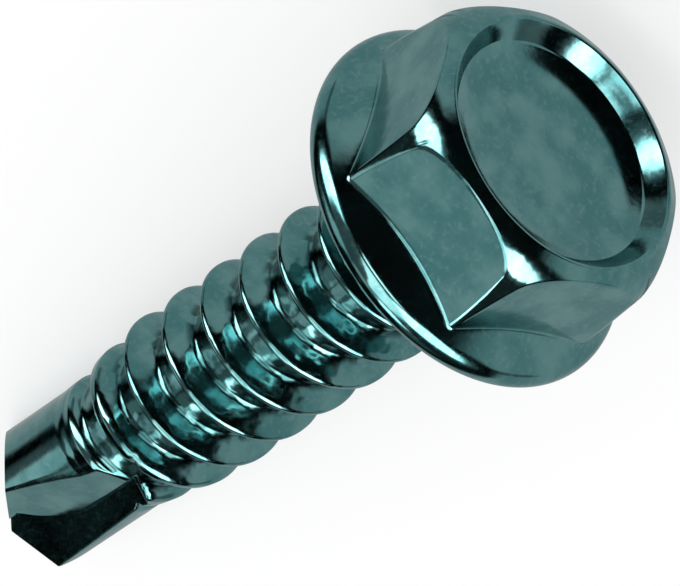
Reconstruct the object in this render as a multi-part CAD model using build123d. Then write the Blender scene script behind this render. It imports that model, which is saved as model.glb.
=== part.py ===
from build123d import *

import os
from math import asin, atan2, ceil, cos, degrees, hypot, radians, sin, sqrt, tan

# A self drilling screw with an indented hexagon washer head, cold formed from one piece of wire.
# It is modelled upright, with the bearing face of its flange at height 0, the head above it and
# the shank below it, and is laid down at the end. Sizes are in millimetres, angles in degrees.

# Shank and thread.
screw_length = 16.4  # from the bearing face to the drill tip
core_diameter = 3.0
thread_diameter = 4.2
thread_pitch = 1.4
thread_flank_angle = 60.0
thread_crest_width = 0.1
thread_crest_height = 0.63  # height of the crest on the +X side, less a whole number of pitches
thread_lead_in_length = 2.5  # the crests grow to full height over this length
thread_run_out_length = 0.8
neck_length = 0.35  # plain length between the bearing face and the end of the thread
neck_radius = 0.65  # under the head; the flat bearing face starts outside the thread

# Drill point.
drill_diameter = 3.4
drill_length = 4.15  # from the tip to the start of the thread
drill_shoulder_angle = 30.0
point_angle = 110.0  # between the two cutting lips
relief_angle = 43.0  # the flat end face behind each lip falls away from it by this angle
web_thickness = 0.5  # between the flute floors, at the tip
lip_direction = 82.0  # direction of a cutting lip, from +X towards +Y
flute_length = 4.6
flute_rise_angle = 5.0  # the flute floor rises towards the head by this angle
flute_end_angle = 40.0
flute_wall_offset = 0.84  # from the axis to the straight part of the flute's rear wall
flute_wall_radius = 2.2  # this wall curves in to the middle of the point
flute_mouth_length = 1.05  # from the tip to the start of that curve
heel_direction = 40.0  # direction that the bevel on the heel of a land faces, from +X towards +Y
heel_slope = 12.0  # the bevel closes in on the axis towards the tip by this angle
heel_offset = 0.49  # from the axis to the bevel, at the tip

# Flange.
flange_diameter = 8.7
flange_rim_height = 0.6
flange_rim_bulge = 0.12  # how far the middle of the rounded rim stands out from its edges
flange_cone_angle = 33.0

# Hexagon.
head_height = 3.63
width_across_flats = 6.9
flat_draft = 1.5
hexagon_edge_radius = 0.2
corner_cone_angle = 5.0  # the corners close in on the axis towards the top by this angle
chamfer_angle = 32.0
shoulder_radius = 1.0  # between the corner cone and the chamfer
crest_inset = 0.39  # from a flat to the ring that is the highest part of the head

# Recess in the top of the head.
recess_depth = 0.65
recess_rim_width = 0.27
recess_rim_angle = 40.0
recess_wall_angle = 29.0
recess_rounding = 0.15

# Pose at rest.
roll_range = 30.0  # the roll is looked for this far to either side of the heel's direction
roll_step = 0.05

overlap = 0.15  # how far pieces that are fused run into each other
clearance = 1.0  # how far cutters reach past what they cut


def turned(outline, roundings):
    """A solid of revolution from a closed outline of (radius, height) points and its fillets."""
    with BuildSketch(Plane.XZ) as profile:
        with BuildLine():
            FilletPolyline(*outline, radius=roundings, close=True)
        make_face()
    return revolve(profile.sketch, Axis.Z)


def make_core():
    """The plain shank: neck, core of the thread and body of the drill point."""
    core = core_diameter / 2
    body = drill_diameter / 2
    tip = -screw_length
    thread_start = tip + drill_length
    shoulder_end = thread_start + (body - core) / tan(radians(drill_shoulder_angle))
    outline = [
        (0, overlap),
        (0, tip),
        (body, tip),
        (body, thread_start),
        (core, shoulder_end),
        (core, 0),
        (core + neck_radius + overlap, 0),
        (core + neck_radius + overlap, overlap),
    ]
    return turned(outline, [0, 0, 0, 0, 0, neck_radius, 0, 0])


def make_thread():
    """The ridge of the right-handed thread, with its lead-in and run-out cut to cones."""
    foot = core_diameter / 2 - overlap
    full = thread_diameter / 2
    half_crest = thread_crest_width / 2
    half_foot = half_crest + (full - foot) * tan(radians(thread_flank_angle / 2))
    thread_start = drill_length - screw_length
    turns_below = ceil((thread_crest_height - thread_start) / thread_pitch) + 1
    start = thread_crest_height - turns_below * thread_pitch
    path = Helix(thread_pitch, -start, foot, center=(0, 0, start))
    with BuildSketch(Plane.XZ) as section:
        with BuildLine():
            Polyline(
                (foot, start - half_foot),
                (full, start - half_crest),
                (full, start + half_crest),
                (foot, start + half_foot),
                close=True,
            )
        make_face()
    ridge = sweep(section.sketch, path=path, is_frenet=True)
    growth = (full - drill_diameter / 2) / thread_lead_in_length
    lead_in_end = thread_start + thread_lead_in_length
    lead_in_foot = lead_in_end - (full - foot + overlap) / growth
    decline = (full - foot) / thread_run_out_length
    run_out_end = -neck_length
    run_out_start = run_out_end - thread_run_out_length
    envelope = turned(
        [
            (0, lead_in_foot),
            (foot - overlap, lead_in_foot),
            (full + overlap, lead_in_end + overlap / growth),
            (full + overlap, run_out_start - overlap / decline),
            (foot, run_out_end),
            (0, run_out_end),
        ],
        [0] * 6,
    )
    return ridge & envelope


def make_heel():
    """The cutter beyond the bevel on the heel of the land next to the flute on the +X side."""
    reach = drill_length + flute_length
    direction = radians(heel_direction)
    slope = radians(heel_slope)
    at_tip = (heel_offset * cos(direction), heel_offset * sin(direction), -screw_length)
    outwards = (cos(slope) * cos(direction), cos(slope) * sin(direction), -sin(slope))
    bevel = Plane(origin=at_tip, z_dir=outwards) * Rectangle(2 * reach, 2 * reach)
    return extrude(bevel, amount=drill_diameter)


def make_flute():
    """The cutter for the flute on the +X side: a floor that ends in a lip, and a rear wall."""
    tip = -screw_length
    reach = drill_diameter / 2 + clearance
    direction = radians(lip_direction)
    across_floor = (sin(direction), -cos(direction), 0)
    along_lip = (-cos(direction), -sin(direction), 0)
    rise = tan(radians(flute_rise_angle))
    floor_end = web_thickness / 2 + flute_length * rise
    end_length = (reach - floor_end) / tan(radians(flute_end_angle))
    with BuildSketch(Plane(origin=(0, 0, tip), x_dir=across_floor, z_dir=along_lip)) as floor_side:
        with BuildLine():
            Polyline(
                (web_thickness / 2 - clearance * rise, -clearance),
                (floor_end, flute_length),
                (reach, flute_length + end_length),
                (reach, -clearance),
                close=True,
            )
        make_face()
    above_floor = extrude(floor_side.sketch, amount=reach, both=True)

    curve_length = sqrt(flute_wall_radius**2 - (flute_wall_radius - flute_wall_offset) ** 2)
    curve_end = flute_mouth_length + curve_length
    with BuildSketch(Plane(origin=(0, 0, tip), x_dir=(0, 1, 0), z_dir=(1, 0, 0))) as wall_side:
        with BuildLine():
            Line((0, -clearance), (0, flute_mouth_length))
            RadiusArc((0, flute_mouth_length), (flute_wall_offset, curve_end), flute_wall_radius)
            Polyline(
                (flute_wall_offset, curve_end),
                (flute_wall_offset, flute_length + end_length),
                (reach, flute_length + end_length),
                (reach, -clearance),
                (0, -clearance),
            )
        make_face()
    beside_wall = extrude(wall_side.sketch, amount=reach, both=True)
    return above_floor & (beside_wall + make_heel())


def make_relief():
    """The cutter beyond the flat end face behind the lip on the +X side."""
    reach = drill_diameter / 2 + clearance
    direction = radians(lip_direction)
    half_web = web_thickness / 2
    fall = tan(radians(relief_angle))
    lip_slope = 1 / tan(radians(point_angle / 2))
    on_lip = (half_web * sin(direction), -half_web * cos(direction), -screw_length - half_web * fall)
    outwards = (
        lip_slope * cos(direction) - fall * sin(direction),
        lip_slope * sin(direction) + fall * cos(direction),
        -1,
    )
    end_face = Plane(origin=on_lip, z_dir=outwards) * Rectangle(4 * reach, 4 * reach)
    return extrude(end_face, amount=reach)


def make_shank():
    """The threaded shank with the two flutes and two end faces of its drill point."""
    cutter = make_flute() + make_relief()
    return make_core() + make_thread() - cutter - cutter.rotate(Axis.Z, 180)


def make_flange():
    """The washer face under the hexagon: a flat bearing face, a rounded rim and a conical top."""
    rim = flange_diameter / 2
    edge = rim - flange_rim_bulge
    inner = width_across_flats / 2 - overlap
    cone_top = flange_rim_height + (edge - inner) * tan(radians(flange_cone_angle))
    with BuildSketch(Plane.XZ) as profile:
        with BuildLine():
            ThreePointArc((edge, 0), (rim, flange_rim_height / 2), (edge, flange_rim_height))
            Polyline((edge, flange_rim_height), (inner, cone_top), (0, cone_top), (0, 0), (edge, 0))
        make_face()
    return revolve(profile.sketch, Axis.Z)


def hexagon_at(height, flat):
    """A hexagon with rounded corners, at a height, with its flats at a distance from the axis."""
    with BuildSketch(Plane.XY.offset(height)) as across:
        RegularPolygon(flat, 6, major_radius=False, rotation=30)
        fillet(across.vertices(), hexagon_edge_radius)
    return across.sketch


def make_hexagon():
    """The six drafted flats, cut to a turned shape: corner cone, shoulder, chamfer and recess."""
    base = flange_rim_height / 2
    top = head_height + clearance
    flat = width_across_flats / 2
    flats = loft(
        [hexagon_at(base, flat), hexagon_at(top, flat - (top - base) * tan(radians(flat_draft)))],
        ruled=True,
    )

    corner = flat / cos(radians(30))
    crest = flat - crest_inset
    narrowing = tan(radians(corner_cone_angle))
    chamfer = tan(radians(chamfer_angle))
    corner_at_top = corner - (head_height - flange_rim_height) * narrowing
    shoulder = (corner_at_top - crest * chamfer * narrowing) / (1 - chamfer * narrowing)
    rim_drop = recess_rim_width * tan(radians(recess_rim_angle))
    wall_top = crest - recess_rim_width
    floor = wall_top - (recess_depth - rim_drop) / tan(radians(recess_wall_angle))
    outline = [
        (0, base),
        (corner + (flange_rim_height - base) * narrowing, base),
        (shoulder, head_height - (shoulder - crest) * chamfer),
        (crest, head_height),
        (wall_top, head_height - rim_drop),
        (floor, head_height - recess_depth),
        (0, head_height - recess_depth),
    ]
    roundings = [0, 0, shoulder_radius, 0, 0, recess_rounding, 0]
    return flats & turned(outline, roundings)


def resting_pose(corners):
    """The roll and lean at which the screw lies on its rim and on both corners of a flute."""
    rim_radius = (flange_rim_height**2 / 4 + flange_rim_bulge**2) / (2 * flange_rim_bulge)

    def lean_at(roll):
        leans = []
        for corner in corners:
            depth = -corner.X * cos(roll) - corner.Y * sin(roll)
            across = flange_diameter / 2 - rim_radius - depth
            along = flange_rim_height / 2 - corner.Z
            leans.append(atan2(across, along) + asin(rim_radius / hypot(along, across)))
        return min(leans)

    steps = round(roll_range / roll_step)
    rolls = [radians(heel_direction + step * roll_step) for step in range(-steps, steps)]
    lowest = max(rolls, key=lean_at)
    return degrees(lowest), degrees(lean_at(lowest))


def lay_down(screw):
    """Lay the screw along X with its head towards +X, resting on height 0, centred over 0."""
    point_top = drill_length - screw_length
    corners = [corner for corner in screw.vertices() if corner.Z < point_top]
    roll, lean = resting_pose(corners)
    level = screw.rotate(Axis.Z, -roll).rotate(Axis.Y, 90).rotate(Axis.X, 180)
    resting = level.rotate(Axis.Y, -lean)
    box = resting.bounding_box()
    return resting.translate((-box.center().X, -box.center().Y, -box.min.Z))


screw = lay_down(make_flange() + make_hexagon() + make_shank())
os.makedirs("parts", exist_ok=True)
export_step(screw, "parts/self_drilling_screw.step")
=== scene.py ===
"""A self drilling screw with an indented hexagon washer head, lying on a pale table.

The screw is one closed surface. It is worked out upright, with its axis along the height and the
bearing face of its washer at height 0, in millimetres, and then laid down as it rests.
"""

import logging
from dataclasses import dataclass, field
from enum import Enum
from math import asin, cos, degrees, pi, radians, sin, sqrt, tan
from typing import Any, Callable

import bpy
import numpy as np
from mathutils import Matrix, Vector


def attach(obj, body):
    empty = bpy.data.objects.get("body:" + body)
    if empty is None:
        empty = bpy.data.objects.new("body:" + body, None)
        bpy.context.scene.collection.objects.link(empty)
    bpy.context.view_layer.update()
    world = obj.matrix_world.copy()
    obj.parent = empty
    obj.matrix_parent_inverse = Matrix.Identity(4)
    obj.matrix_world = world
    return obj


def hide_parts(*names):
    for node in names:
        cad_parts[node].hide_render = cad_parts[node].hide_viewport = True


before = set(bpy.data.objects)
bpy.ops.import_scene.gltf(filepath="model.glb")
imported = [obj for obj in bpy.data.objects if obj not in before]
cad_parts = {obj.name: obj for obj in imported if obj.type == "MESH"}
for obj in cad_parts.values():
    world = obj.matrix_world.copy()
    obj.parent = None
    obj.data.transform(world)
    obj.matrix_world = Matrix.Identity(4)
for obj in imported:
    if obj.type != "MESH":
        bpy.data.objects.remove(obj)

LOG = logging.getLogger("self_drilling_screw")
MILLIMETRE = 0.001
WHITE = (1, 1, 1, 1)
HALF_TURN = 180
HALVINGS = 40
ARC_POINTS = 25

Array = np.ndarray
Span = tuple[float, float]
Colour = tuple[float, float, float]
Rings = tuple[Array, Array, Array]
Shank = Callable[[Array, Array], Array]
Corners = dict[str, tuple[Array, Array]]
Station = tuple[str | None, float]


def soft_min(first: Array, second: Array, width: Array | float) -> Array:
    """The smaller of two fields, with the edge between them rounded.

    The formula is min(a, b) - max(w - |a - b|, 0)^2 / 4w.

    Args:
        first: one field.
        second: the other.
        width: the difference between them at which the rounding starts.

    Returns:
        The blended values.
    """
    near = np.maximum(width - np.abs(first - second), 0.0)
    return np.minimum(first, second) - near**2 / (4 * width)


def soft_max(first: Array, second: Array, width: Array | float) -> Array:
    """The larger of two fields, with the valley between them filled: -soft_min(-a, -b)."""
    return -soft_min(-first, -second, width)


def smooth_step(values: Array, low: float, high: float) -> Array:
    """Rises from 0 at low to 1 at high along t^2 (3 - 2t)."""
    t = np.clip((values - low) / (high - low), 0.0, 1.0)
    return t * t * (3 - 2 * t)


def eased(count: int, start: float = 0.0, end: float = 0.0) -> Array:
    """Steps from 0 to 1 that crowd towards the ends.

    The formula is the running sum of 1 - start (1 - t)^3 - end t^3, scaled to end at 1.

    Args:
        count: how many steps there are.
        start: from 0, even, to nearly 1, crowded at the start.
        end: the same at the end.

    Returns:
        The values after 0, as many as count says.
    """
    t = (np.arange(count) + 0.5) / count
    lengths = 1 - start * (1 - t) ** 3 - end * t**3
    return np.cumsum(lengths) / lengths.sum()


def between(start: Array | float, end: Array | float, steps: Array) -> Array:
    """Rows that lead from one row of values to another, start + (end - start) t for each t."""
    return np.asarray(start) + (np.asarray(end) - np.asarray(start)) * steps[:, None]


def joined(parts: list[tuple[Array | float, ...]]) -> Rings:
    """The directions, radii and heights of several sets of rings, one after another."""
    angles, radii, heights = map(np.concatenate, zip(*(np.broadcast_arrays(*p) for p in parts)))
    return angles, radii, heights


def solve(field_at: Callable[[Any], Array], low: Array | float, high: Array | float) -> Array:
    """Finds by halving where a field falls through 0, for a whole row at once.

    Args:
        field_at: the field, positive at low and negative at high.
        low: the lower heights.
        high: the upper heights.

    Returns:
        The heights where it does.
    """
    for _ in range(HALVINGS):
        middle = (low + high) / 2
        above = field_at(middle) > 0
        low = np.where(above, middle, low)
        high = np.where(above, high, middle)
    return (low + high) / 2


class Outline:
    """An outline of straight runs with rounded corners, read at lengths along it."""

    def __init__(self, corners: list[tuple[float, float]], roundings: list[float]) -> None:
        """Replaces each inner corner by an arc that is tangent to both its runs.

        Args:
            corners: the (radius, height) points in order.
            roundings: the arc's radius at each inner corner, or 0 for a sharp one.
        """
        points = [np.array([corners[0]], float)]
        self.arcs: list[list[int]] = []
        for before, corner, after, radius in zip(corners, corners[1:], corners[2:], roundings):
            points.append(self._corner(np.array(before), np.array(corner), np.array(after), radius))
            count = sum(len(p) for p in points)
            self.arcs.append([count - len(points[-1]), count - 1])
        points.append(np.array([corners[-1]], float))
        self.points = np.concatenate(points)
        steps = np.hypot(*np.diff(self.points, axis=0).T)
        self.lengths = np.concatenate([[0.0], np.cumsum(steps)])

    @staticmethod
    def _corner(before: Array, corner: Array, after: Array, radius: float) -> Array:
        """The points of the arc that rounds one corner, or the corner itself.

        Args:
            before: the corner before.
            corner: the corner.
            after: the corner after.
            radius: the arc's radius.

        Returns:
            The points, one to a row.
        """
        if radius == 0:
            return corner[None]
        inwards = (before - corner) / np.linalg.norm(before - corner)
        outwards = (after - corner) / np.linalg.norm(after - corner)
        half = np.arccos(np.clip(inwards @ outwards, -1, 1)) / 2
        middle = (inwards + outwards) / np.linalg.norm(inwards + outwards)
        centre = corner + middle * radius / np.sin(half)
        first = corner + inwards * radius / np.tan(half) - centre
        last = corner + outwards * radius / np.tan(half) - centre
        t = np.linspace(0, 1, ARC_POINTS)[:, None]
        turn = pi - 2 * half
        return centre + (np.sin((1 - t) * turn) * first + np.sin(t * turn) * last) / np.sin(turn)

    def arc(self, corner: int) -> list[float]:
        """The lengths along the outline at which an inner corner's arc starts and ends."""
        return self.lengths[self.arcs[corner]].tolist()

    def at(self, length: Array) -> tuple[Array, Array]:
        """The radius and the height at these lengths along the outline."""
        radius = np.interp(length, self.lengths, self.points[:, 0])
        return radius, np.interp(length, self.lengths, self.points[:, 1])


@dataclass(frozen=True)
class Lie:
    """How the upright screw lies: it rolls about its axis, then leans over onto its washer.

    Then it is moved by its centre along the table, and by its lowest point onto it.
    """

    roll: float = radians(21.35)
    lean: float = radians(11.624008)
    centre: float = -5.984166
    lowest: float = -4.209260

    def place(self, x: Array, y: Array, z: Array) -> Array:
        """Lays points down.

        Args:
            x: distances from the axis towards the side of the screw that faces up.
            y: distances across that direction.
            z: heights above the bearing face.

        Returns:
            One row of metres to each point.
        """
        up = x * cos(self.roll) + y * sin(self.roll)
        along = z * cos(self.lean) - up * sin(self.lean) - self.centre
        across = x * sin(self.roll) - y * cos(self.roll)
        above = z * sin(self.lean) + up * cos(self.lean) - self.lowest
        return np.stack([along, across, above], axis=-1) * MILLIMETRE

    def direction(self, x: float, y: float, z: float) -> Vector:
        """The direction in the room of a direction on the upright screw."""
        ends = self.place(*np.array([[0.0, x], [0.0, y], [0.0, z]]))
        return Vector(ends[1] - ends[0]).normalized()


@dataclass
class Thread:
    """The right-handed thread, its core, and the fillet under the washer."""

    core_radius: float = 1.5
    full_radius: float = 2.1
    pitch: float = 1.4
    crest_height: float = 0.63
    crest_width: float = 0.1
    flank_angle: float = radians(30)
    start: float = -12.25
    lead_in_length: float = 2.5
    lead_in_radius: float = 1.7
    run_out_start: float = -1.15
    run_out_slope: float = 0.9375
    shoulder_angle: float = radians(30)
    neck_radius: float = 0.65
    crest_rounding: float = 0.035
    root_rounding: float = 0.12
    end_rounding: float = 0.05
    row_steps: tuple[float, ...] = (0.04, 0.08, 0.15, 0.24, 0.33, 0.39, 0.43, 0.49, 0.58)

    def rows(self) -> Array:
        """Heights of a pitch's rows over the middle of a root, close at the crest and the feet."""
        steps = np.array(self.row_steps)
        crest = self.pitch / 2
        return np.concatenate([[0.0], crest - steps[::-1], [crest], crest + steps])

    def body(self, height: Array) -> Array:
        """The radius without the ridge: drill body, shoulder, core and the neck's fillet."""
        shoulder = self.lead_in_radius - (height - self.start) * tan(self.shoulder_angle)
        core = self.core_radius + 0 * height
        plain = soft_max(np.minimum(shoulder, self.lead_in_radius), core, self.end_rounding)
        rise = np.clip(height + self.neck_radius, 0.0, self.neck_radius)
        fillet = self.core_radius + self.neck_radius - np.sqrt(self.neck_radius**2 - rise**2)
        return np.maximum(plain, fillet)

    def ridge(self, angle: Array, height: Array) -> Array:
        """The radius of the ridge alone.

        With x the distance along the axis from the nearest crest, which climbs by a pitch to a
        turn, it is full - (x - crest / 2) / tan(flank), held under the lead-in and run-out.

        Args:
            angle: directions about the axis.
            height: heights above the bearing face.

        Returns:
            The radii.
        """
        crest = self.crest_height + self.pitch * angle / (2 * pi)
        turns = (height - crest) / self.pitch
        away = np.abs(turns - np.round(turns)) * self.pitch
        flank = self.full_radius - (away - self.crest_width / 2) / tan(self.flank_angle)
        growth = (self.full_radius - self.lead_in_radius) / self.lead_in_length
        lead_in = self.lead_in_radius + (height - self.start) * growth
        run_out = self.full_radius - (height - self.run_out_start) * self.run_out_slope
        full = self.full_radius + 0 * height
        envelope = soft_min(np.minimum(lead_in, run_out), full, self.end_rounding)
        return soft_min(flank, envelope, self.crest_rounding)

    def radius(self, angle: Array, height: Array) -> Array:
        """The radius of the threaded shank: the larger of body and ridge, filleted."""
        return soft_max(self.body(height), self.ridge(angle, height), self.root_rounding)


@dataclass
class DrillPoint:
    """The two flutes, the bevels on the heels of the lands, and the two end faces.

    A flute takes what lies beyond both its floor and its rear wall or bevel. With f the normal of
    the floor and h the height above the tip, the floor is the plane P.f = web / 2 + h tan(rise).
    The units share the columns of a ring out between the faces of its section, from the seam on.
    """

    tip: float = -16.4
    radius: float = 1.7
    point_slope: float = 1 / tan(radians(55))
    relief_slope: float = tan(radians(43))
    half_web: float = 0.25
    lip: float = radians(82)
    flute_length: float = 4.6
    followed_length: float = 4.8
    rise: float = tan(radians(5))
    end_rise: float = tan(radians(40))
    wall_offset: float = 0.84
    wall_radius: float = 2.2
    mouth_length: float = 1.05
    wall_start: float = 0.03
    heel: float = radians(40)
    heel_offset: float = 0.49
    heel_slope: float = tan(radians(12))
    seam: float = radians(114)
    ridge_rounding: float = 0.06
    root_rounding: float = 0.1
    step_rounding: float = 0.02
    chisel_rounding: float = 0.01
    chisel_margin: float = 0.2
    even_from: float = 7.0
    crowding: float = 0.5
    never: float = 9.0
    least_sine: float = 1e-3
    units: tuple[int, ...] = (2, 2, 1, 1, 2, 4, 2, 1, 1, 2, 2)

    def floor(self, above: Array) -> Array:
        """The distance of a flute's floor from the axis at heights above the tip."""
        ramp = np.maximum(above - self.flute_length, 0.0) * self.end_rise
        return self.half_web + np.minimum(above, self.flute_length) * self.rise + ramp

    def wall(self, above: Array) -> Array:
        """The distance of a flute's rear wall from the axis: an arc, then straight."""
        centre = self.wall_offset - self.wall_radius
        reach = sqrt(self.wall_radius**2 - centre**2)
        below = np.clip(self.mouth_length + reach - above, 0.0, reach)
        return np.maximum(centre + np.sqrt(self.wall_radius**2 - below**2), self.wall_start)

    def bevel(self, above: Array) -> Array:
        """The distance of the bevel on the heel from the axis."""
        return self.heel_offset + above * self.heel_slope

    def opening(self, angle: Array, above: Array) -> Array:
        """The radius at which a ray from the axis leaves the metal into the first flute.

        It is the larger of floor / cos(to the floor's normal) and the smaller of wall / sin(angle)
        and bevel / cos(to the bevel's normal). Where a ray never meets a face, it is very large.

        Args:
            angle: directions about the axis.
            above: heights above the tip.

        Returns:
            The radii.
        """
        faces = [
            (self.floor(above), np.sin(self.lip - angle)),
            (self.wall(above), np.sin(angle)),
            (self.bevel(above), np.cos(angle - self.heel)),
        ]
        radii = []
        for distance, sine in faces:
            radius = np.minimum(distance / np.maximum(sine, self.least_sine), self.never)
            radii.append(np.where(sine > self.least_sine, radius, self.never))
        floor, wall, bevel = radii
        return soft_max(floor, soft_min(wall, bevel, self.step_rounding), self.root_rounding)

    def cut(self, radius: Array, angle: Array, height: Array) -> Array:
        """Cuts both flutes out of the shank.

        Args:
            radius: the radii before the cut.
            angle: directions about the axis.
            height: heights above the bearing face.

        Returns:
            The radii after it.
        """
        above = height - self.tip
        first = soft_min(radius, self.opening(angle, above), self.ridge_rounding)
        return soft_min(first, self.opening(angle + pi, above), self.ridge_rounding)

    def end_height(self, x: Array, y: Array) -> Array:
        """The height of the two end faces, which fall away from their lips: |m P.l - n P.f|."""
        along = x * cos(self.lip) + y * sin(self.lip)
        across = x * sin(self.lip) - y * cos(self.lip)
        fall = self.point_slope * along - self.relief_slope * across
        return self.tip + np.sqrt(fall**2 + self.chisel_rounding**2) - self.chisel_rounding

    def _corners(self, above: Array, turn: float, shank: Shank) -> Corners:
        """The corners of the section on one flute's side, at heights above the tip.

        Args:
            above: the heights.
            turn: how far the flute is turned from the first. Its points are turned back.
            shank: the radius before the cut.

        Returns:
            By name and in order, the points where land meets bevel, bevel meets wall, wall meets
            floor, the end faces meet on the floor, and floor meets land.
        """
        above = np.minimum(above, self.followed_length)
        height = above + self.tip
        floor, wall, bevel = self.floor(above), self.wall(above), self.bevel(above)
        on_land = self.heel - np.arccos(np.minimum(bevel / self.radius, 1.0))
        at_lip = self.lip - np.arcsin(np.minimum(floor / self.radius, 1.0))
        land_radius = shank(on_land + turn, height)
        lip_radius = shank(at_lip + turn, height)
        on_land = self.heel - np.arccos(np.minimum(bevel / land_radius, 1.0))
        at_lip = self.lip - np.arcsin(np.minimum(floor / lip_radius, 1.0))
        low = (floor + wall * cos(self.lip)) / sin(self.lip)
        first = low * cos(self.lip) + wall * sin(self.lip)
        last = np.sqrt(np.maximum(lip_radius**2 - floor**2, 0.0))
        chisel = floor * self.relief_slope / self.point_slope
        margin = self.chisel_margin * (last - first)
        chisel = np.clip(chisel, first + margin, last - margin)
        least = low + self.step_rounding
        high = np.maximum((bevel - wall * sin(self.heel)) / cos(self.heel), least)
        return {
            "heel": (land_radius * np.cos(on_land), land_radius * np.sin(on_land)),
            "step": (high, wall),
            "root": (low, wall),
            "chisel": (
                floor * sin(self.lip) + chisel * cos(self.lip),
                chisel * sin(self.lip) - floor * cos(self.lip),
            ),
            "lip": (lip_radius * np.cos(at_lip), lip_radius * np.sin(at_lip)),
        }

    def angles(self, share: Array, above: Array, shank: Shank) -> Array:
        """Directions about the axis that follow the edges of the flutes.

        On a flat face they are those of points spread along it, and on a land they are evenly
        turned. Above the flutes they pass over to an even turn.

        Args:
            share: shares of the turn from the seam, 0 to 1.
            above: heights above the tip.
            shank: the radius before the cut.

        Returns:
            The directions, from the seam's up to a turn more.
        """
        sides = {turn: self._corners(above, turn, shank) for turn in (pi, 2 * pi)}
        corners = [(name, turn) for turn, side in sides.items() for name in side]
        stations: list[Station] = [(None, 0.0), *corners, (None, 2 * pi)]
        limits = np.cumsum((0,) + self.units) / sum(self.units)
        followed = np.zeros(np.broadcast(share, above).shape)
        for low, high, start, end in zip(limits, limits[1:], stations, stations[1:]):
            t = np.clip((share - low) / (high - low), 0.0, 1.0)
            if start[0] is None or end[0] is None or start[0] == "lip":
                first, last = (self._station(sides, station) for station in (start, end))
                part = first + (last - first) * t
            else:
                t = t - self.crowding * np.sin(2 * pi * t) / (2 * pi)
                (x0, y0), (x1, y1) = sides[start[1]][start[0]], sides[start[1]][end[0]]
                part = np.arctan2(y0 + (y1 - y0) * t, x0 + (x1 - x0) * t) + start[1]
            followed = np.where((share >= low) & (share <= high), part, followed)
        even = self.seam + 2 * pi * share
        leaving = smooth_step(above, self.followed_length, self.even_from)
        return followed + (even - followed) * leaving

    def _station(self, sides: dict[float, Corners], station: Station) -> Array:
        """The direction of a corner, or of the seam where the station has no corner."""
        name, turn = station
        if name is None:
            return np.array(self.seam + turn)
        x, y = sides[turn][name]
        return np.arctan2(y, x) + turn


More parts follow.
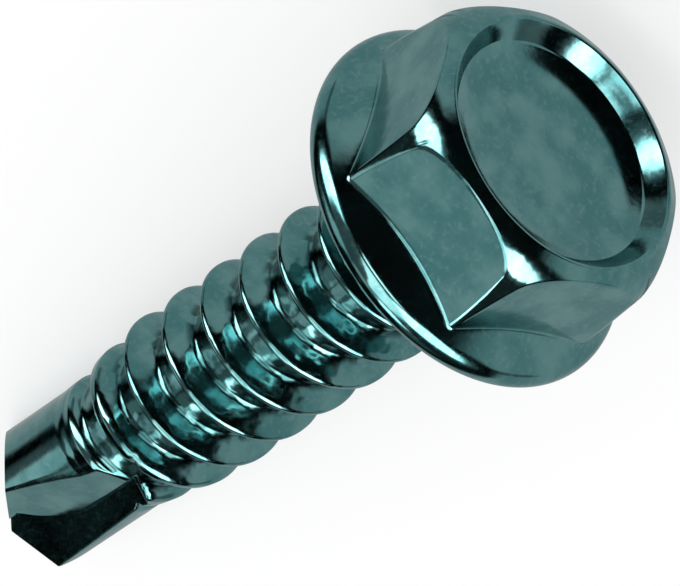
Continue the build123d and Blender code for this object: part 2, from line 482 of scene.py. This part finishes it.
@dataclass
class WasherHead:
    """The indented hexagon head with its washer, turned and cold formed from the same wire."""

    rim_radius: float = 4.35
    rim_height: float = 0.6
    rim_bulge: float = 0.12
    cone_slope: float = tan(radians(33))
    height: float = 3.63
    flat: float = 3.45
    draft: float = tan(radians(1.5))
    edge_radius: float = 0.2
    corner_slope: float = tan(radians(5))
    chamfer_slope: float = tan(radians(32))
    shoulder_radius: float = 1.0
    crest_inset: float = 0.39
    recess_depth: float = 0.68
    recess_rim_width: float = 0.38
    recess_rim_slope: float = tan(radians(51))
    recess_wall_slope: float = tan(radians(20))
    crest_rounding: float = 0.08
    recess_rim_rounding: float = 0.15
    recess_floor_rounding: float = 1.6
    foot_rounding: float = 0.08
    foot_limit: float = 1.3
    brow_margin: float = 0.01
    edge_softness: float = 0.03
    chamfer_softness: float = 0.04
    chamfer_heights: Span = (2.6, 3.2)
    middle: float = 0.04
    crowding: float = 0.6
    face_rows: int = 9
    rim_rows: int = 12
    cone_rows: int = 9
    side_rows: int = 22
    recess_rows: tuple[int, ...] = (10, 3, 5, 5, 7, 12)
    turned: Outline = field(init=False)

    def __post_init__(self) -> None:
        """Works out the turned outline that cuts the hexagon's corners and its top."""
        corner = self.flat / cos(pi / 6)
        crest = self.flat - self.crest_inset
        at_top = corner - (self.height - self.rim_height) * self.corner_slope
        product = self.chamfer_slope * self.corner_slope
        shoulder = (at_top - crest * product) / (1 - product)
        wall_top = crest - self.recess_rim_width
        wall_top_height = self.height - self.recess_rim_width * self.recess_rim_slope
        floor_height = self.height - self.recess_depth
        floor = wall_top - (wall_top_height - floor_height) / self.recess_wall_slope
        corners = [
            (corner + self.rim_height * self.corner_slope, 0.0),
            (shoulder, self.height - (shoulder - crest) * self.chamfer_slope),
            (crest, self.height),
            (wall_top, wall_top_height),
            (floor, floor_height),
            (0.0, floor_height),
        ]
        roundings = [self.shoulder_radius, self.crest_rounding]
        roundings += [self.recess_rim_rounding, self.recess_floor_rounding]
        self.turned = Outline(corners, roundings)

    def outer(self) -> Array:
        """The points of the turned outline up to its crest."""
        points = self.turned.points
        return points[: np.argmax(points[:, 1]) + 1]

    def hexagon(self, angle: Array, height: Array) -> Array:
        """The radius of the six drafted flats with their rounded upright edges.

        On a flat it is F / cos(a), with a the angle from the flat's middle and F the distance of
        the flat. On an edge it is c cos(b) + sqrt(r^2 - c^2 sin(b)^2), with b the angle from it.

        Args:
            angle: directions about the axis.
            height: heights above the bearing face.

        Returns:
            The radii.
        """
        sixth = pi / 3
        away = np.abs(angle - sixth * np.round(angle / sixth))
        flat = self.flat - (height - self.rim_height / 2) * self.draft
        centre = (flat - self.edge_radius) / cos(pi / 6)
        edge_start = np.arctan2((flat - self.edge_radius) * tan(pi / 6), flat)
        off_edge = pi / 6 - away
        inside = np.maximum(self.edge_radius**2 - (centre * np.sin(off_edge)) ** 2, 0.0)
        edge = centre * np.cos(off_edge) + np.sqrt(inside)
        return np.where(away < edge_start, flat / np.cos(away), edge)

    def corner_cut(self, height: Array) -> Array:
        """The radius of the turned outline outside its crest, at these heights."""
        outer = self.outer()
        return np.interp(height, outer[:, 1], outer[:, 0])

    def cone(self, height: Array) -> Array:
        """The radius of the washer's conical top at these heights."""
        return self.rim_radius - self.rim_bulge - (height - self.rim_height) / self.cone_slope

    def rim(self) -> tuple[Array, Array]:
        """The rounded rim, one arc through its widest point, without its first point."""
        half = self.rim_height / 2
        radius = (half**2 + self.rim_bulge**2) / (2 * self.rim_bulge)
        turn = np.linspace(-1, 1, self.rim_rows + 1)[1:] * asin(half / radius)
        return self.rim_radius - radius + radius * np.cos(turn), half + radius * np.sin(turn)

    def angles(self, share: Array, crowding: Array | float) -> Array:
        """Directions that crowd towards the hexagon's upright edges: u - k sin(6 u - pi) / 6."""
        even = DrillPoint.seam + 2 * pi * share
        return even - crowding * np.sin(6 * even - pi) / 6

    def rows(self, share: Array, neck: float) -> Rings:
        """The rows of the head from the bearing face's inner edge to the middle of the recess.

        Args:
            share: the columns' shares of the turn.
            neck: the radius of that edge.

        Returns:
            The directions, radii and heights.
        """
        turned = self.turned
        edge = self.rim_radius - self.rim_bulge
        face_steps = eased(self.face_rows, 0.5, 0.8)
        face_angle = self.angles(share, self.crowding * face_steps[:, None])
        face = neck + (edge - neck) * face_steps[:, None]

        angle = self.angles(share, self.crowding)
        rim_radius, rim_height = self.rim()
        foot = solve(
            lambda z: self.cone(z) - np.minimum(self.hexagon(angle, z), self.corner_cut(z)),
            self.rim_height,
            self.foot_limit,
        )
        cone_height = between(self.rim_height, foot, eased(self.cone_rows, 0.3, 0.85))
        brow = solve(
            lambda z: self.corner_cut(z) - self.hexagon(angle, z),
            self.rim_height,
            self.height - self.brow_margin,
        )
        side_height = between(foot, brow, eased(self.side_rows, 0.9, 0.85))
        outer = self.outer()
        brow_length = np.interp(brow, outer[:, 1], turned.lengths[: len(outer)])
        stops = [*turned.arc(1), *turned.arc(2), *turned.arc(3), turned.lengths[-1] - self.middle]
        top_length = between(brow_length, stops[0], eased(self.side_rows, 0.85, 0.3))
        top_radius, top_height = turned.at(top_length)
        inner_length = [
            start + (stop - start) * np.arange(1, count + 1) / count
            for start, stop, count in zip(stops, stops[1:], self.recess_rows)
        ]
        inner_radius, inner_height = turned.at(np.concatenate(inner_length))

        def held(radius: Array, height: Array) -> Array:
            """The turned top, held inside the hexagon."""
            steep = smooth_step(height, *self.chamfer_heights)
            softness = self.edge_softness + (self.chamfer_softness - self.edge_softness) * steep
            return soft_min(radius, self.hexagon(angle, height), softness)

        outside = np.concatenate([cone_height, side_height])
        hexagon = held(self.corner_cut(outside), outside)
        return joined(
            [
                (face_angle, face, 0.0),
                (angle, rim_radius[:, None], rim_height[:, None]),
                (angle, soft_max(self.cone(outside), hexagon, self.foot_rounding), outside),
                (angle, held(top_radius, top_height), top_height),
                (angle, inner_radius[:, None], inner_height[:, None]),
            ]
        )


@dataclass
class Screw:
    """The whole screw as one closed surface of rings.

    The rings of the thread climb like the thread itself, so that every crest and foot has a row of
    its own. Where they meet the level rings of the point and of the head, the column at the seam
    is part of the ring, so a level ring has one column more for each row of a pitch.
    """

    columns: int = 220
    turns: int = 8
    thread_foot: float = -13.7
    side_top: float = -14.3
    neck_bottom: float = -0.65
    first_rim: float = 0.6
    least_turn: float = 1e-4
    helix_rounds: int = 12
    rim_rounds: int = 60
    cap_rows: int = 15
    side_rows: int = 24
    band_rows: int = 15
    neck_rows: int = 22
    fillet_rows: int = 6
    thread: Thread = field(default_factory=Thread)
    point: DrillPoint = field(default_factory=DrillPoint)
    head: WasherHead = field(default_factory=WasherHead)
    lie: Lie = field(default_factory=Lie)

    def shank_radius(self, angle: Array, height: Array) -> Array:
        """The radius of the shank with its flutes cut."""
        return self.point.cut(self.thread.radius(angle, height), angle, height)

    def directions(self, share: Array, height: Array) -> Array:
        """The directions of columns on the point and the thread, at these heights."""
        return self.point.angles(share, height - self.point.tip, self.thread.radius)

    def ring_share(self, extra: int) -> Array:
        """Shares of the turn on a level ring of the point, with the extra columns by the seam."""
        own = np.arange(self.columns) / self.columns
        last = round(self.columns * (1 - self.point.units[-1] / sum(self.point.units)))
        tail = self.columns - last + extra
        return np.concatenate([own[:last], own[last] + (1 - own[last]) * np.arange(tail) / tail])

    def helix(self) -> Rings:
        """The climbing rows of the thread.

        A row keeps its height over the helix, z = z0 + pitch (angle - seam) / 2 pi + row, and the
        directions depend a little on the height, so both are settled together in rounds.

        Returns:
            The directions, radii and heights.
        """
        pitch, seam = self.thread.pitch, self.point.seam
        root = self.thread.crest_height + pitch * seam / (2 * pi) + pitch / 2
        start = root + pitch * round((self.thread_foot - root) / pitch)
        turns = np.arange(self.turns)[:, None] * pitch
        rows = np.append((turns + self.thread.rows()).ravel(), self.turns * pitch)[:, None]
        share = np.arange(self.columns)[None, :] / self.columns
        angle = seam + 2 * pi * share + 0 * rows
        for _ in range(self.helix_rounds):
            height = start + pitch * (angle - seam) / (2 * pi) + rows
            angle = self.directions(share, height)
        height = start + pitch * (angle - seam) / (2 * pi) + rows
        return angle, self.shank_radius(angle, height), height

    def point_rings(self, low: Array) -> Rings:
        """The level rings from the tip over the end faces and up the flutes to the climbing rows.

        Args:
            low: the heights of the ring of the climbing rows that they meet.

        Returns:
            The directions, radii and heights.
        """
        extra = len(self.thread.rows())
        share = self.ring_share(extra)
        met = np.concatenate([np.arange(self.columns) / self.columns, np.ones(extra)])
        rim = np.full(share.shape, self.point.tip + self.first_rim)
        for _ in range(self.rim_rounds):
            angle = self.directions(share, rim)
            radius = self.shank_radius(angle, rim)
            face = self.point.end_height(radius * np.cos(angle), radius * np.sin(angle))
            rim = (rim + face) / 2
        angle = self.directions(share, rim)
        radius = self.shank_radius(angle, rim)
        steps = eased(self.cap_rows, 0.3, 0.8)
        cap_radius = steps[:, None] * radius
        cap_height = self.point.end_height(cap_radius * np.cos(angle), cap_radius * np.sin(angle))
        cap = (angle, cap_radius, cap_height)
        side_height = between(rim, self.side_top, eased(self.side_rows, 0.9))
        steps = eased(self.band_rows)[:-1]
        band_height = between(self.side_top, low, steps)
        side_share = np.broadcast_to(share, side_height.shape)
        height = np.concatenate([side_height, band_height])
        shares = np.concatenate([side_share, between(share, met, steps)])
        angle = self._in_order(self.directions(shares, height))
        return joined([cap, (angle, self.shank_radius(angle, height), height)])

    def _in_order(self, angle: Array) -> Array:
        """Directions on rings, each moved past the one before it where it lies behind."""
        spread = self.least_turn * np.arange(angle.shape[1])
        return np.maximum.accumulate(angle - spread, axis=1) + spread

    def head_rings(self, angle: Array, height: Array) -> Rings:
        """The level rings from the climbing rows up the neck and over the head.

        The columns that climb along the seam lean back to an even turn, so that some thin faces
        beside the seam, where the thread runs out, lie over one another.

        Args:
            angle: the directions of the ring of the climbing rows that they meet.
            height: its heights.

        Returns:
            The directions, radii and heights.
        """
        share = np.arange(len(angle)) / len(angle)
        even = self.head.angles(share, 0.0)
        steps = eased(self.neck_rows)
        band_angle = between(angle, even, steps)
        band_height = between(height, self.neck_bottom, steps)
        turn = np.linspace(0, pi / 2, self.fillet_rows + 2)[1:-1, None]
        fillet_height = self.neck_bottom * (1 - np.sin(turn))
        inner = self.thread.core_radius + self.thread.neck_radius
        return joined(
            [
                (band_angle, self.shank_radius(band_angle, band_height), band_height),
                (even, self.shank_radius(even, fillet_height), fillet_height),
                (even[None], inner, 0.0),
                self.head.rows(share, inner),
            ]
        )

    def surface(self) -> tuple[Array, list[Array]]:
        """The points of the whole surface and its faces.

        Returns:
            The points in metres where the screw lies, and the four-sided and three-sided faces
            as arrays of point numbers, counter-clockwise seen from outside.
        """
        angle, radius, height = self.helix()
        rows, columns = angle.shape
        extra = len(self.thread.rows())
        numbers = np.arange(rows * columns).reshape(rows, columns)
        low = np.concatenate([numbers[0], numbers[extra:0:-1, 0]])
        high = np.concatenate([numbers[-1], numbers[-2 : -2 - extra : -1, -1]])
        point = self.point_rings(height.flat[low])
        head = self.head_rings(angle.flat[high], height.flat[high])

        grids = [(angle, radius, height), point, head]
        angles, radii, heights = joined([tuple(map(np.ravel, grid)) for grid in grids])
        x, y, z = radii * np.cos(angles), radii * np.sin(angles), heights
        poles = [[0.0, 0.0, self.point.tip], [0.0, 0.0, heights[-1]]]
        points = np.concatenate([np.stack([x, y, z], axis=1), poles])

        ring = columns + extra
        first = rows * columns + point[0].size
        point_numbers = rows * columns + np.arange(point[0].size).reshape(-1, ring)
        head_numbers = first + np.arange(head[0].size).reshape(-1, ring)
        quads = [
            self._bands(np.concatenate([point_numbers, low[None]])),
            self._bands(np.concatenate([high[None], head_numbers])),
            self._climb(numbers, extra),
        ]
        tip, middle = len(points) - 2, len(points) - 1
        start, end = point_numbers[0], head_numbers[-1]
        fans = [
            np.stack([np.full(ring, tip), np.roll(start, -1), start], axis=1),
            np.stack([np.full(ring, middle), end, np.roll(end, -1)], axis=1),
        ]
        placed = self.lie.place(points[:, 0], points[:, 1], points[:, 2])
        return placed, [np.concatenate(quads), np.concatenate(fans)]

    @staticmethod
    def _bands(rings: Array) -> Array:
        """The four-sided faces between rings that close on themselves."""
        low, high = rings[:-1], rings[1:]
        corners = [low, np.roll(low, -1, axis=1), np.roll(high, -1, axis=1), high]
        return np.stack([c.ravel() for c in corners], axis=1)

    @staticmethod
    def _climb(numbers: Array, extra: int) -> Array:
        """The four-sided faces of the climbing rows. They meet the next turn's at the seam."""
        shifted = np.concatenate([numbers[:-extra], numbers[extra:, :1]], axis=1)
        inner = [numbers[:-1, :-1], numbers[:-1, 1:], numbers[1:, 1:], numbers[1:, :-1]]
        seam = [shifted[:-1, -2], shifted[:-1, -1], shifted[1:, -1], shifted[1:, -2]]
        sides = (np.stack([c.ravel() for c in corners], axis=1) for corners in (inner, seam))
        return np.concatenate(list(sides))

    def build(self) -> bpy.types.Object:
        """Makes the piece from the surface, smooth all over.

        Returns:
            The screw, with its place in its mesh.
        """
        points, (quads, fans) = self.surface()
        mesh = bpy.data.meshes.new("screw_body")
        mesh.from_pydata(points.tolist(), [], quads.tolist() + fans.tolist())
        mesh.validate()
        mesh.shade_smooth()
        mesh.update()
        piece = bpy.data.objects.new("screw_body", mesh)
        bpy.context.scene.collection.objects.link(piece)
        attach(piece, "root")
        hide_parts("self_drilling_screw")
        return piece


@dataclass(frozen=True)
class Wire:
    """A number that runs between shader nodes. Arithmetic on it adds Math nodes."""

    board: "Board"
    socket: bpy.types.NodeSocket

    def _math(self, operation: str, *values: "Wire | float") -> "Wire":
        """Adds one Math node.

        Args:
            operation: Blender's name for it.
            values: its values in order.

        Returns:
            The result.
        """
        inputs = dict(enumerate(values))
        return self.board.node("ShaderNodeMath", {"operation": operation}, inputs, 0)

    def __add__(self, other: "Wire | float") -> "Wire":
        """Adds."""
        return self._math("ADD", self, other)

    __radd__ = __add__

    def __mul__(self, other: "Wire | float") -> "Wire":
        """Multiplies."""
        return self._math("MULTIPLY", self, other)

    __rmul__ = __mul__

    def __sub__(self, other: "Wire | float") -> "Wire":
        """Subtracts."""
        return self._math("SUBTRACT", self, other)

    def __rsub__(self, other: float) -> "Wire":
        """Subtracts from a number."""
        return self._math("SUBTRACT", other, self)

    def arcsine(self) -> "Wire":
        """The angle with this sine."""
        return self._math("ARCSINE", self)

    def direction_over(self, other: "Wire") -> "Wire":
        """The angle of the point that lies this far up and the other one far along."""
        return self._math("ARCTAN2", self, other)

    def wrapped(self, half: float) -> "Wire":
        """Brought between minus and plus half of a turn."""
        return self._math("WRAP", self, half, -half)

    def size(self) -> "Wire":
        """Without its sign."""
        return self._math("ABSOLUTE", self)

    def step(self, low: float, high: float) -> "Wire":
        """Rises smoothly from 0 at low to 1 at high, or falls where low is the larger."""
        turned = low > high
        settings = {"interpolation_type": "SMOOTHSTEP"}
        inputs = {0: self, 1: min(low, high), 2: max(low, high), 3: 0.0, 4: 1.0}
        risen = self.board.node("ShaderNodeMapRange", settings, inputs, 0)
        return 1 - risen if turned else risen


class Board:
    """A node tree that is being wired."""

    def __init__(self, tree: bpy.types.NodeTree) -> None:
        """Empties the tree."""
        self.tree = tree
        tree.nodes.clear()

    def add(self, kind: str, settings: dict[str, Any], inputs: dict[Any, Any]) -> bpy.types.Node:
        """Adds a node: its settings first, then the values or links of its sockets.

        Args:
            kind: the node's type.
            settings: its properties by name.
            inputs: a number, colour, wire or socket for each input, by name or number.

        Returns:
            The node.
        """
        node = self.tree.nodes.new(kind)
        for name, value in settings.items():
            setattr(node, name, value)
        for name, value in inputs.items():
            if isinstance(value, Wire):
                value = value.socket
            if isinstance(value, bpy.types.NodeSocket):
                self.tree.links.new(value, node.inputs[name])
            else:
                node.inputs[name].default_value = value
        return node

    def node(
        self, kind: str, settings: dict[str, Any], inputs: dict[Any, Any], output: Any
    ) -> Wire:
        """Adds a node as add does, and gives one of its outputs."""
        return Wire(self, self.add(kind, settings, inputs).outputs[output])

    def dot(self, vector: bpy.types.NodeSocket, direction: Vector | tuple) -> Wire:
        """The dot product of a vector and a fixed direction."""
        inputs = {0: vector, 1: tuple(direction)}
        return self.node("ShaderNodeVectorMath", {"operation": "DOT_PRODUCT"}, inputs, "Value")

    def mix(self, factor: Wire, first: Any, second: Any) -> Wire:
        """Mixes two colours."""
        inputs = {0: factor, 6: first, 7: second}
        return self.node("ShaderNodeMix", {"data_type": "RGBA"}, inputs, 2)


@dataclass(frozen=True)
class ZincPlating:
    """Bright zinc plating with a cool blue-green cast, over cold formed steel.

    Scales are in bumps to a millimetre. A span is where a noise or a place passes from none of
    Painted shade lies in patches in the thread's roots, by the radius squared: a near black that
    stands in for the shade between the thread's flanks.
    """

    colour: Colour = (0.2, 0.43, 0.43)
    bloom: Colour = (0.24, 0.46, 0.46)
    stain: Colour = (0.11, 0.31, 0.32)
    # painted shade: the near black that the thread's roots are darkened towards, and how strongly
    # and in which patches
    painted_root_shade: Colour = (0.015, 0.06, 0.06)
    bloom_strength: float = 0.6
    painted_root_shade_strength: float = 0.8
    polish: float = 0.09
    dull: float = 0.145
    grain_dull: float = 0.06
    cloud_scale: float = 1.1
    grain_scale: float = 7.0
    dent_scale: float = 2.4
    worn: Span = (0.35, 0.7)
    bloomed: Span = (0.5, 0.75)
    grained: Span = (0.45, 0.8)
    shade_patches: Span = (0.42, 0.55)
    root_square: Span = (2.9, 2.4)
    rolled_start: Span = (-11.9, -11.2)
    rolled_end: Span = (0.0, -0.6)
    grain_height: float = 0.15
    dent_height: float = 3.0
    bump: float = 0.35
    bump_distance: float = 2e-5

    def dress(self, piece: bpy.types.Object, lie: Lie) -> None:
        """Makes the plating and puts it on a piece.

        Args:
            piece: the piece.
            lie: how it lies, which gives its axis.
        """
        material = bpy.data.materials.new("zinc_plating")
        material.use_nodes = True
        board = Board(material.node_tree)
        place = board.add("ShaderNodeTexCoord", {}, {}).outputs["Object"]
        settings = {"operation": "SCALE"}
        scaled = board.add("ShaderNodeVectorMath", settings, {0: place, "Scale": 1 / MILLIMETRE})
        millimetres = scaled.outputs[0]

        cloud = self._noise(board, millimetres, self.cloud_scale, 3.0)
        grain = self._noise(board, millimetres, self.grain_scale, 4.0)
        worn = cloud.step(*self.worn)
        tone = board.mix(worn, (*self.stain, 1), (*self.colour, 1))
        bloom = grain.step(*self.bloomed) * self.bloom_strength
        tone = board.mix(bloom, tone, (*self.bloom, 1))

        origin = Vector(lie.place(*np.zeros((3, 1)))[0] / MILLIMETRE)
        ways = [lie.direction(*way) for way in np.eye(3).tolist()]
        up, side, along = (board.dot(millimetres, way) - origin.dot(way) for way in ways)
        rolled = along.step(*self.rolled_start) * along.step(*self.rolled_end)
        dents = self._noise(board, millimetres, self.dent_scale, 1.0)
        # Painted shade: patches in the thread's roots, picked out by their radius, are darkened
        # towards near black in place of the shade between the flanks.
        root = (up * up + side * side).step(*self.root_square) * rolled
        painted_root_shade = root * dents.step(*self.shade_patches) * self.painted_root_shade_strength
        tone = board.mix(painted_root_shade, tone, (*self.painted_root_shade, 1))

        rough = self.polish + (self.dull - self.polish) * (1 - worn)
        rough = rough + grain.step(*self.grained) * self.grain_dull
        height = cloud + grain * self.grain_height + dents * rolled * self.dent_height
        inputs = {"Strength": self.bump, "Distance": self.bump_distance, "Height": height}
        bump = board.add("ShaderNodeBump", {}, inputs)
        inputs = {"Base Color": tone, "Metallic": 1.0, "Roughness": rough}
        inputs["Normal"] = bump.outputs[0]
        shader = board.add("ShaderNodeBsdfPrincipled", {}, inputs)
        board.add("ShaderNodeOutputMaterial", {}, {"Surface": shader.outputs[0]})
        piece.data.materials.append(material)

    @staticmethod
    def _noise(board: Board, vector: bpy.types.NodeSocket, scale: float, detail: float) -> Wire:
        """A noise over the piece, with scale bumps to a millimetre."""
        inputs = {"Vector": vector, "Scale": scale, "Detail": detail}
        return board.node("ShaderNodeTexNoise", {}, inputs, 0)


class Tone(Enum):
    """What a card does to the light of the room behind it."""

    DARKENS = -1
    LIGHTS = 1


@dataclass(frozen=True)
class Card:
    """A dark card or a soft box of the room, as a window of directions in degrees.

    A direction is a turn about the line that points up from the screw, counted from its head, and
    a rise over the plane across that line.
    """

    tone: Tone
    strength: float
    turn: float
    reach: float
    low: float
    high: float
    soft: float = 5.0


@dataclass
class Studio:
    """The pale table, the soft light and the camera."""

    lie: Lie = field(default_factory=Lie)
    table_size: float = 0.6
    table_tone: float = 0.86
    lens: float = 407.9
    distance: float = 0.17
    view_angle: float = radians(51)
    frame_turn: float = radians(34.11)
    frame_shift: Span = (-3.341, -2.253)
    centre_height: float = 1.138
    paper_glow: float = 0.55
    lamp_size: float = 0.25
    lamp_power: float = 0.35
    lamp_place: tuple[float, float, float] = (-0.05, 0.08, 0.35)
    daylight: float = 1.0
    ground: float = 0.45
    ground_edge: Span = (3, -6)
    ceiling: float = 0.12
    ceiling_edge: Span = (12, 20)
    cards: tuple[Card, ...] = (
        Card(Tone.DARKENS, 1.0, 0, 32, -30, 34, 7),
        Card(Tone.DARKENS, 1.0, 0, 24, 30, 75, 9),
        Card(Tone.DARKENS, 0.6, 75, 9, -24, 14, 6),
        Card(Tone.DARKENS, 0.6, -75, 9, -24, 14, 6),
        Card(Tone.DARKENS, 0.8, 119.5, 14.5, -2, 50, 8),
        Card(Tone.DARKENS, 0.8, -116.5, 11.5, -2, 50, 8),
        Card(Tone.DARKENS, 1.0, 168, 12, 8, 40, 6),
        Card(Tone.DARKENS, 1.0, -169, 10, 12, 43),
        Card(Tone.LIGHTS, 5.0, -71.5, 31, 21, 45, 6),
        Card(Tone.LIGHTS, 5.0, 64, 29, 21, 60, 6),
        Card(Tone.LIGHTS, 0.65, -145, 15, 28, 54),
        Card(Tone.LIGHTS, 0.4, 180, 14, 45, 60),
        Card(Tone.LIGHTS, 4.0, 150, 12, 40, 54),
        Card(Tone.LIGHTS, 3.0, 8, 18, 35, 48),
        Card(Tone.LIGHTS, 2.2, 75, 95, 61, 100, 8),
    )

    def camera(self) -> None:
        """Stands the camera over the screw, at its angle from the screw's axis."""
        toward = self.lie.direction(sin(self.view_angle), 0, cos(self.view_angle))
        flat = self.lie.direction(-cos(self.view_angle), 0, sin(self.view_angle))
        side = self.lie.direction(0, 1, 0)
        right = flat * cos(self.frame_turn) + side * sin(self.frame_turn)
        up = flat * sin(self.frame_turn) - side * cos(self.frame_turn)
        over = Vector(self.lie.place(*np.array([0.0, 0.0, self.centre_height])))
        place = over + toward * self.distance
        aim = over + (right * self.frame_shift[0] + up * self.frame_shift[1]) * MILLIMETRE
        back = (place - aim).normalized()
        right = up.cross(back).normalized()
        data = bpy.data.cameras.new("camera")
        data.lens = self.lens
        data.clip_start = 0.01
        camera = bpy.data.objects.new("camera", data)
        turn = Matrix((right, back.cross(right), back)).transposed().to_4x4()
        camera.matrix_world = Matrix.Translation(place) @ turn
        bpy.context.scene.collection.objects.link(camera)
        bpy.context.scene.camera = camera

    def table(self) -> None:
        """Lays the pale table under the screw. It keeps the soft shadow."""
        half = self.table_size / 2
        mesh = bpy.data.meshes.new("table")
        corners = [(-half, -half, 0), (half, -half, 0), (half, half, 0), (-half, half, 0)]
        mesh.from_pydata(corners, [], [(0, 1, 2, 3)])
        table = bpy.data.objects.new("table", mesh)
        bpy.context.scene.collection.objects.link(table)
        table.visible_glossy = False
        material = bpy.data.materials.new("table_paper")
        material.use_nodes = True
        board = Board(material.node_tree)
        tone = (self.table_tone,) * 3 + (1,)
        paper = board.add("ShaderNodeBsdfDiffuse", {}, {"Color": tone})
        glow = board.add("ShaderNodeEmission", {}, {"Color": WHITE, "Strength": self.daylight})
        camera = board.node("ShaderNodeLightPath", {}, {}, "Is Camera Ray")
        inputs = {0: camera * self.paper_glow, 1: paper.outputs[0], 2: glow.outputs[0]}
        mixed = board.add("ShaderNodeMixShader", {}, inputs)
        board.add("ShaderNodeOutputMaterial", {}, {"Surface": mixed.outputs[0]})
        mesh.materials.append(material)

    def lamp(self) -> None:
        """Hangs one large soft lamp over the table."""
        data = bpy.data.lights.new("overhead_lamp", "AREA")
        data.shape = "DISK"
        data.size = self.lamp_size
        data.energy = self.lamp_power
        lamp = bpy.data.objects.new("overhead_lamp", data)
        lamp.location = self.lamp_place
        lamp.rotation_euler = (-lamp.location).to_track_quat("-Z", "Y").to_euler()
        lamp.visible_glossy = lamp.visible_camera = False
        bpy.context.scene.collection.objects.link(lamp)

    def room(self) -> None:
        """Wires the room, white to all but reflections.

        They see a mid tone below the horizon, a dark band at it and a dim ceiling, and before
        these the dark cards and the soft boxes.
        """
        world = bpy.data.worlds.new("room")
        bpy.context.scene.world = world
        world.use_nodes = True
        board = Board(world.node_tree)
        look = board.add("ShaderNodeTexCoord", {}, {}).outputs["Generated"]
        up, side, ahead = (board.dot(look, self.lie.direction(*a)) for a in np.eye(3).tolist())
        rise = up.arcsine() * degrees(1)
        turn = side.direction_over(ahead) * degrees(1)

        light = rise.step(*self.ground_edge) * self.ground
        light = light + rise.step(*self.ceiling_edge) * self.ceiling
        for card in self.cards:
            half = card.soft / 2
            off = (turn - card.turn).wrapped(HALF_TURN).size()
            sides = off.step(card.reach + half, card.reach - half)
            bottom = rise.step(card.low - half, card.low + half)
            window = sides * bottom * rise.step(card.high + half, card.high - half)
            if card.tone is Tone.DARKENS:
                light = light * (1 - window * card.strength)
            else:
                light = light + window * card.strength

        glossy = board.node("ShaderNodeLightPath", {}, {}, "Is Glossy Ray")
        strength = glossy * light + (1 - glossy) * self.daylight
        inputs = {"Color": WHITE, "Strength": strength}
        surface = board.add("ShaderNodeBackground", {}, inputs)
        board.add("ShaderNodeOutputWorld", {}, {"Surface": surface.outputs[0]})

    def build(self) -> None:
        """Sets up the studio."""
        self.camera()
        self.table()
        self.lamp()
        self.room()
        bpy.context.scene.view_settings.view_transform = "Standard"


def main() -> None:
    """Builds the studio and the screw."""
    logging.basicConfig(level=logging.INFO)
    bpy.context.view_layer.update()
    Studio().build()
    screw = Screw()
    piece = screw.build()
    ZincPlating().dress(piece, screw.lie)
    LOG.info("%s has %d faces", piece.name, len(piece.data.polygons))


if __name__ == "__main__":
    main()
